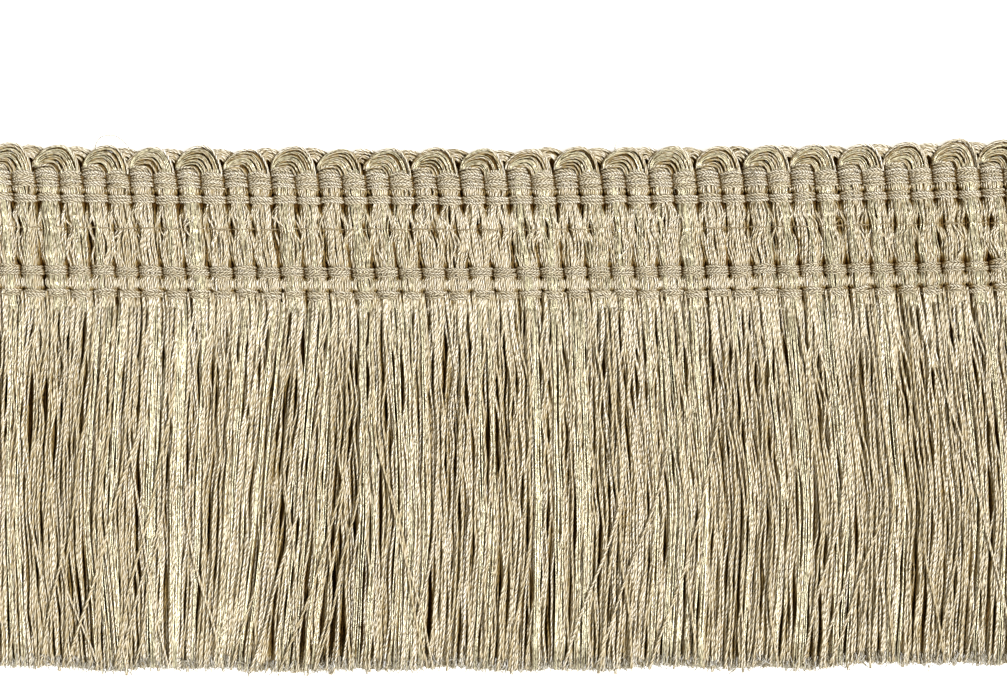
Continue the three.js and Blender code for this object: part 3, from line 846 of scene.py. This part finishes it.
def loopYarns(rng, loop):
    middles = (columnMiddles[loop["first"]:-1:2] + pitch / 2)[:, None, None]
    rank = np.linspace(0, 1, loop["yarns"])[:, None]
    size = 1 + rng.normal(0, arcs["sizeSpread"], (len(middles), 1, 1))
    middles = middles + rng.normal(0, arcs["shiftSpread"], middles.shape)
    # painted shade on the loop's left flank: one minus a bell curve of the angle
    angle = np.linspace(0, np.pi, loop["steps"] + 1)[:, None]
    flank = 1 - loop["flankShade"] * np.exp(-(((angle - arcs["flankShadeAt"]) / arcs["flankShadeWidth"]) ** 2))
    # the outermost yarn is open to the light, so its painted shade is lifted to make up for the shading of
    # its sides
    outer = np.tile(rank[:, 0] == 1, len(middles))[:, None, None]
    batches = []
    for level, shade, filling in loop["layers"]:
        blur = rng.normal(0, arcs["blur"][filling], (len(middles), loop["yarns"], 1))
        path = loopPath(loop, middles, rank, size, blur, level)
        thick = loop["radius"] * arcs["swell"][filling]
        thick = thick * rng.uniform(*arcs["thickness"], (len(path), 1))
        shade = np.where(outer, arcs["outerShade"][filling], shade) * flank
        batches.append(tubes(path, thick, 4, rng.random(len(path)), shade))
    return batches


makePiece("frontLoops", loopYarns(rng, frontLoop), weftYarn, ["gimp_heading"])
backBatches = loopYarns(rng, backLoop) + loopYarns(rng, loopWeb)
makePiece("backLoops", backBatches, weftYarn, ["gimp_heading"])
print("heading bundles and loops made")


# The binders: warp ends in plain weave. Each row is a pair of ends, one over the even columns
# and the other over the odd ones, crossing in the slits between the columns.

binderKeys = (
    "piece", "node", "top", "bottom", "rows", "radius", "oddStart", "rounding", "pinch", "shade", "drift",
)
binders = [dict(zip(binderKeys, row)) for row in (
    ("bindWide", "binder_band_wide", 2.85, 6.2, 7, 0.215, 0.8, 0.5, 0.0, 1.0, 0.0),
    ("bindNarrow", "binder_band_narrow", 7.1, 8.4, 3, 0.205, 0.0, 0.1, 0.2, 1.0, 0.0),
    ("bindThread", "binder_thread", 11.9, 12.1, 1, 0.12, 0.0, 0.0, 0.0, 0.75, 1.0),
    ("bindFootUpper", "foot_band_upper", 17.4, 19.05, 4, 0.195, 0.0, 0.1, 0.2, 1.0, 0.0),
    ("bindFootLower", "foot_band_lower", 20.9, 22.2, 3, 0.205, 0.0, 0.1, 0.2, 1.0, 0.0),
)]
weave = {
    "samples": (-0.5, -0.455, -0.395, -0.15, 0.15, 0.395, 0.455), "under": 0.2,
    "crossing": 1.2,  # height at which an end crosses the slit between two columns
    "notch": (0.0, 0.8),
    "places": (0.3, 0.4),  # where the two ends of a row lie in it: the first, and the step to the second
    "waves": [(9, 0.035), (3.1, 0.045)], "crown": 2.1,
    "seat": 0.7,  # how far an end stands off the bundle, in radii
    "edges": (0.45, 0.49), "thickness": (0.88, 1.12), "rightHanded": 0.7,
    "nudge": 0.07,  # how far an end strays from its row over a single column
    "tilt": 0.22, "unevenness": 0.06,
    "zigzag": (0.022, 0.02),  # how far every other row reaches past its column, and how much that varies
    "turnLength": 1.1,
}


def warpEnds(rng, binder):
    # Over a column an end follows the round of the bundle, under it it lies on the surface, and it
    # crosses between the two in the slit. Some ends are twisted the other way.
    share = np.tile(weave["samples"], columns)
    column = np.repeat(np.arange(columns), len(weave["samples"]))
    x = columnMiddles[column] + share * pitch
    rows = np.repeat(np.arange(binder["rows"]), 2)
    parity = np.tile([0, 1], binder["rows"])
    depth = (binder["bottom"] - binder["top"]) / binder["rows"]
    firstPlace, placeStep = weave["places"]
    base = (binder["top"] + (rows + firstPlace + placeStep * parity) * depth)[:, None]
    above = 1 - (base - binder["top"]) / (binder["bottom"] - binder["top"])
    drop = base + wander(rng, len(rows), x[None], weave["waves"])
    drop = drop + binder["oddStart"] * (column % 2) * above + binder["rounding"] * 4 * share**2 * above
    centre = (binder["top"] + binder["bottom"]) / 2
    drop = centre + (drop - centre) * (1 - binder["pinch"] * 4 * share**2)
    nudge, tilt, uneven, extra = rng.normal(0, 1, (4, len(rows), columns))[:, :, column]
    x = x + binder["drift"] * knotShift(x)
    reach = weave["zigzag"][0] * (1 - 2 * (rows % 2))[:, None] + weave["zigzag"][1] * extra
    x = x + reach * pitch * np.sin(2 * np.pi * share)
    drop = drop + (nudge * weave["nudge"] + tilt * weave["tilt"] * share) * np.cos(np.pi * share)
    over = bundleHeight(share * weave["crown"], drop) + binder["radius"] * weave["seat"]
    over = over + uneven * weave["unevenness"]
    isOver = (column + parity[:, None]) % 2 == 0
    height = np.where(isOver, over, weave["under"])
    notch = rng.uniform(*weave["notch"], height.shape)
    atEdge, atSlit = (np.abs(share) > edge for edge in weave["edges"])
    height = np.where(atEdge & isOver, over + (weave["crossing"] - over) * notch, height)
    height = np.where(atSlit, weave["crossing"], height)
    radius = binder["radius"] * rng.uniform(*weave["thickness"], (len(rows), 1))
    handed = np.where(rng.random(len(rows)) < weave["rightHanded"], 1.0, -1.0)
    path = place(leaned(x, drop), drop, np.maximum(height, radius))
    return tubes(path, radius, 5, rng.random(len(rows)), binder["shade"], handed, weave["turnLength"])


for binder in binders:
    makePiece(binder["piece"], [warpEnds(rng, binder)], binderYarn, [binder["node"]])
print("binders made")

gimpMetal = {
    "groups": 64, "perGroup": 3, "spread": 0.22, "reach": 0.7, "steps": 28, "radius": 0.075,
    "endDrop": 24.0, "inset": 0.2, "lift": 0.06, "waves": [(9, 0.1)],
    "perLoop": 6, "ranks": (0.1, 0.95), "blur": 0.08, "level": 2.66,
}


def headingMetallic(rng):
    # fine threads, a few side by side, that run down the columns and over the front loops
    groups, perGroup = gimpMetal["groups"], gimpMetal["perGroup"]
    count = groups * perGroup
    middle = np.repeat(rng.choice(columnMiddles, groups), perGroup)[:, None]
    reach = gimpMetal["reach"]
    share = np.repeat(rng.uniform(-reach, reach, (groups, 1)), perGroup, axis=0)
    share = share + rng.normal(0, gimpMetal["spread"], (count, 1))
    drop = np.linspace(gimp["topDrop"], gimpMetal["endDrop"], gimpMetal["steps"] + 1)[None]
    half = eased(drop, profileDrops, profileHalves) - gimpMetal["inset"]
    wobble = wander(rng, count, drop, gimpMetal["waves"])
    drawn = gathered(middle + share * half[:, :1], drop)[2]
    across = leaned(middle + (share + wobble) * half + drawn, drop)
    path = place(across, drop, bundleHeight(share, drop) + gimpMetal["lift"])
    batches = [tubes(path, gimpMetal["radius"], 4, rng.random(count), 1.0)]
    middles = (columnMiddles[0:-1:2] + pitch / 2)[:, None, None]
    rank = rng.uniform(*gimpMetal["ranks"], (len(middles), gimpMetal["perLoop"], 1))
    blur = rng.normal(0, gimpMetal["blur"], rank.shape)
    path = loopPath(frontLoop, middles, rank, 1.0, blur, gimpMetal["level"])
    batches.append(tubes(path, gimpMetal["radius"], 4, rng.random(len(path)), 1.0))
    return batches


makePiece("headingMetallic", headingMetallic(rng), metallicThread, ["gimp_heading"])

looseEnds = {
    "radius": 0.06, "steps": 28, "shade": 0.35, "blend": 1.5,
    "paths": [  # x, drop and height of the knots of each loose filament
        [(-56.3, 1.9, 2.3), (-57.1, 0.3, 2.6), (-56.2, -1.2, 2.7),
         (-54.2, -1.5, 2.7), (-52.6, -0.4, 2.7), (-51.4, 1.4, 2.4)],
        [(18.7, 1.6, 2.4), (18.3, 0.2, 2.6), (18.9, -0.9, 2.6)],
        [(38.0, 3.4, 2.7), (39.1, 5.2, 2.9), (38.4, 7.6, 2.9), (39.4, 9.5, 2.9), (38.9, 11.0, 2.8)],
        [(-27.4, 22.3, 2.8), (-27.9, 23.6, 3.0), (-27.2, 24.9, 3.0)],
    ],
}


def looseFilaments():
    # each point is a mean of the knots, weighted by the square of how near they lie along the way
    batches = []
    for knotRows in looseEnds["paths"]:
        filament = np.array(knotRows)
        filament = np.concatenate([filament[:1], filament, filament[-1:]])
        way = np.linspace(1, len(filament) - 2, looseEnds["steps"])[:, None]
        weights = np.maximum(1 - np.abs(way - np.arange(len(filament))) / looseEnds["blend"], 0) ** 2
        x, drop, height = ((weights / weights.sum(axis=1, keepdims=True)) @ filament).T
        path = place(x, drop, height)[None]
        batches.append(tubes(path, looseEnds["radius"], 4, np.array([0.5]), looseEnds["shade"]))
    return batches


makePiece("looseFilaments", looseFilaments(), metallicThread, ["gimp_heading"])

# Camera, light and floor

view = {
    "width": 146.1,  # what the frame shows of the trim
    "middleX": 2.24, "middleDrop": 29.2, "focusHeight": 2.2, "lens": 100.0, "sensor": 36.0,
}
cameraData = bpy.data.cameras.new("photoCamera")
cameraData.lens = view["lens"]
cameraData.sensor_width = view["sensor"]
camera = bpy.data.objects.new("photoCamera", cameraData)
distance = view["width"] * view["lens"] / view["sensor"]
camera.location = (
    (view["middleX"] + xOffset) / 1000,
    (yOffset - view["middleDrop"]) / 1000,
    (view["focusHeight"] + distance) / 1000,
)
scene.collection.objects.link(camera)
scene.camera = camera


def addSun(name, azimuth, elevation, strength, spread, colour):
    # azimuth is measured from the loop edge towards the right, both angles in degrees
    data = bpy.data.lights.new(name, "SUN")
    data.energy = strength
    data.angle = math.radians(spread)
    data.color = colour
    lamp = bpy.data.objects.new(name, data)
    lamp.rotation_euler = (math.radians(90 - elevation), 0, math.radians(180 - azimuth))
    scene.collection.objects.link(lamp)


addSun("keyLight", 100, 55, 4.6, 20, (1.0, 0.98, 0.95))
addSun("fillLight", -80, 60, 0.7, 40, (1.0, 0.92, 0.8))
world = bpy.data.worlds.new("studio")
world.use_nodes = True
setInputs(world.node_tree.nodes["Background"], {"Color": (1, 0.9, 0.62, 1), "Strength": 0.32})
scene.world = world
scene.view_settings.view_transform = "Standard"

floorMesh = bpy.data.meshes.new("floor")
floorHalf = 6.0  # metres
floorMesh.from_pydata(
    [(x * floorHalf, y * floorHalf, 0) for x, y in ((-1, -1), (1, -1), (1, 1), (-1, 1))],
    [], [(0, 1, 2, 3)],
)
floorMaterial, _, floorShader = newMaterial("paleFloor")
setInputs(floorShader, {
    "Base Color": (0.95, 0.95, 0.95, 1), "Roughness": 0.9,
    "Emission Color": (1, 1, 1, 1), "Emission Strength": 0.6,
})
floorMesh.materials.append(floorMaterial)
floor = bpy.data.objects.new("floor", floorMesh)
scene.collection.objects.link(floor)
